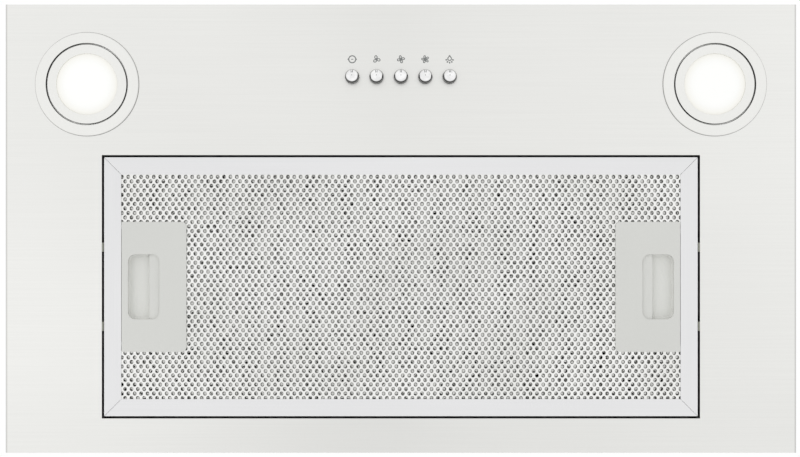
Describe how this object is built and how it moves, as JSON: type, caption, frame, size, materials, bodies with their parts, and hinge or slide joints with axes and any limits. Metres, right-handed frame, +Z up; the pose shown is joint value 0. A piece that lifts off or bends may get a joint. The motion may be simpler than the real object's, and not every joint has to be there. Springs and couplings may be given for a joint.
{
  "type": "undermount range hood",
  "caption": "Built-in kitchen hood: stainless fascia with lamps, push buttons and a latched grease filter, a steel housing with a drum blower, and a round outlet with back-draught flaps.",
  "frame": {"origin": "middle of the fascia's outline, on the upper face of its rim, level with the cabinet's underside", "axes": "+Z up into the cabinet, +X to the right seen from the front, -Y to the front edge with the buttons"},
  "size_m": [0.52, 0.295, 0.2625],
  "materials": {
    "stainless": "fine brushed stainless sheet",
    "galvanised": "zinc-coated sheet with a faint spangle",
    "zinc_fasteners": "zinc-plated steel",
    "spring_steel": "bare spring steel",
    "satin_silver": "satin silver lacquer",
    "lens_glass": "frosted glass, lit",
    "lamp_board": "white circuit board",
    "chrome_caps": "polished chrome",
    "filter_frame": "satin anodised aluminium",
    "filter_mesh": "bright perforated aluminium",
    "filter_core": "pleated aluminium mesh",
    "grey_plastic": "fine-textured light grey moulding",
    "black_plastic": "black moulding",
    "blower_plastic": "dark grey moulding",
    "wheel_plastic": "pale moulding",
    "motor_steel": "grey enamelled steel",
    "core_steel": "stacked electrical steel",
    "copper": "enamelled copper wire",
    "bearing_bronze": "sintered bronze",
    "bright_steel": "ground steel",
    "capacitor_can": "drawn aluminium can",
    "switch_plastic": "cream moulding"
  },
  "bodies": {
    "hood": {"fascia_panel": "stainless", "fascia_nuts": "zinc_fasteners", "housing_shell": "galvanised", "top_cover": "galvanised", "top_screws": "zinc_fasteners", "control_bay_cover": "galvanised", "duct_collar": "black_plastic", "collar_screws": "zinc_fasteners", "scroll_left": "blower_plastic", "scroll_right": "blower_plastic", "scroll_screws": "zinc_fasteners", "blower_screws": "zinc_fasteners", "stator_core": "core_steel", "stator_windings": "copper", "motor_can_inner": "motor_steel", "motor_can_outer": "motor_steel", "motor_bushes": "bearing_bronze", "motor_bracket": "galvanised", "bracket_screws": "zinc_fasteners", "capacitor": "capacitor_can", "terminal_box": "switch_plastic", "cable_gland": "black_plastic", "led_driver": "switch_plastic", "switch_block": "switch_plastic", "switch_bracket": "galvanised", "lamp_boards": "lamp_board", "lamp_clips": "spring_steel", "catch_springs": "spring_steel", "button_spring_off": "spring_steel", "button_spring_speed_1": "spring_steel", "button_spring_speed_2": "spring_steel", "button_spring_speed_3": "spring_steel", "button_spring_light": "spring_steel", "lamp_bezel_left": "satin_silver", "lamp_ring_left": "satin_silver", "lamp_lens_left": "lens_glass", "lamp_bezel_right": "satin_silver", "lamp_ring_right": "satin_silver", "lamp_lens_right": "lens_glass"},
    "fan": {"impeller": "wheel_plastic", "impeller_nut": "zinc_fasteners", "motor_shaft": "bright_steel", "rotor_core": "core_steel"},
    "flap_front": {"damper_flap_front": "black_plastic"},
    "flap_rear": {"damper_flap_rear": "black_plastic"},
    "grease_filter": {"filter_rails_long": "filter_frame", "filter_rails_short": "filter_frame", "filter_mesh": "filter_mesh", "filter_core": "filter_core", "handle_left": "grey_plastic", "handle_right": "grey_plastic", "latch_springs_left": "spring_steel", "latch_springs_right": "spring_steel"},
    "latch_left": {"slider_left": "grey_plastic"},
    "latch_right": {"slider_right": "grey_plastic"},
    "push_off": {"button_off": "chrome_caps"},
    "push_speed_1": {"button_speed_1": "chrome_caps"},
    "push_speed_2": {"button_speed_2": "chrome_caps"},
    "push_speed_3": {"button_speed_3": "chrome_caps"},
    "push_light": {"button_light": "chrome_caps"}
  },
  "joints": [
    {"name": "off_press", "type": "slide", "parent": "hood", "child": "push_off", "axis": [0, 0, 1], "range_m": [0, 0.003], "stiffness_N_per_m": 300, "springref_m": -0.004, "deforming": ["button_spring_off"]},
    {"name": "speed_1_press", "type": "slide", "parent": "hood", "child": "push_speed_1", "axis": [0, 0, 1], "range_m": [0, 0.003], "stiffness_N_per_m": 300, "springref_m": -0.004, "deforming": ["button_spring_speed_1"]},
    {"name": "speed_2_press", "type": "slide", "parent": "hood", "child": "push_speed_2", "axis": [0, 0, 1], "range_m": [0, 0.003], "stiffness_N_per_m": 300, "springref_m": -0.004, "deforming": ["button_spring_speed_2"]},
    {"name": "speed_3_press", "type": "slide", "parent": "hood", "child": "push_speed_3", "axis": [0, 0, 1], "range_m": [0, 0.003], "stiffness_N_per_m": 300, "springref_m": -0.004, "deforming": ["button_spring_speed_3"]},
    {"name": "light_press", "type": "slide", "parent": "hood", "child": "push_light", "axis": [0, 0, 1], "range_m": [0, 0.003], "stiffness_N_per_m": 300, "springref_m": -0.004, "deforming": ["button_spring_light"]},
    {"name": "filter_drop", "type": "slide", "parent": "hood", "child": "grease_filter", "axis": [0, 0, -1], "range_m": [0, 0.15], "deforming": ["catch_springs"]},
    {"name": "latch_left_slide", "type": "slide", "parent": "grease_filter", "child": "latch_left", "axis": [1, 0, 0], "range_m": [0, 0.006], "stiffness_N_per_m": 400, "springref_m": -0.003, "deforming": ["latch_springs_left"]},
    {"name": "latch_right_slide", "type": "slide", "parent": "grease_filter", "child": "latch_right", "axis": [-1, 0, 0], "range_m": [0, 0.006], "stiffness_N_per_m": 400, "springref_m": -0.003, "deforming": ["latch_springs_right"]},
    {"name": "fan_spin", "type": "hinge", "parent": "hood", "child": "fan", "pos_m": [0, 0.008, 0.118], "axis": [1, 0, 0], "continuous": true},
    {"name": "flap_front_swing", "type": "hinge", "parent": "hood", "child": "flap_front", "pos_m": [0, 0.062, 0.208], "axis": [-1, 0, 0], "range_deg": [0, 75]},
    {"name": "flap_rear_swing", "type": "hinge", "parent": "hood", "child": "flap_rear", "pos_m": [0, 0.07, 0.208], "axis": [1, 0, 0], "range_deg": [0, 75]}
  ]
}
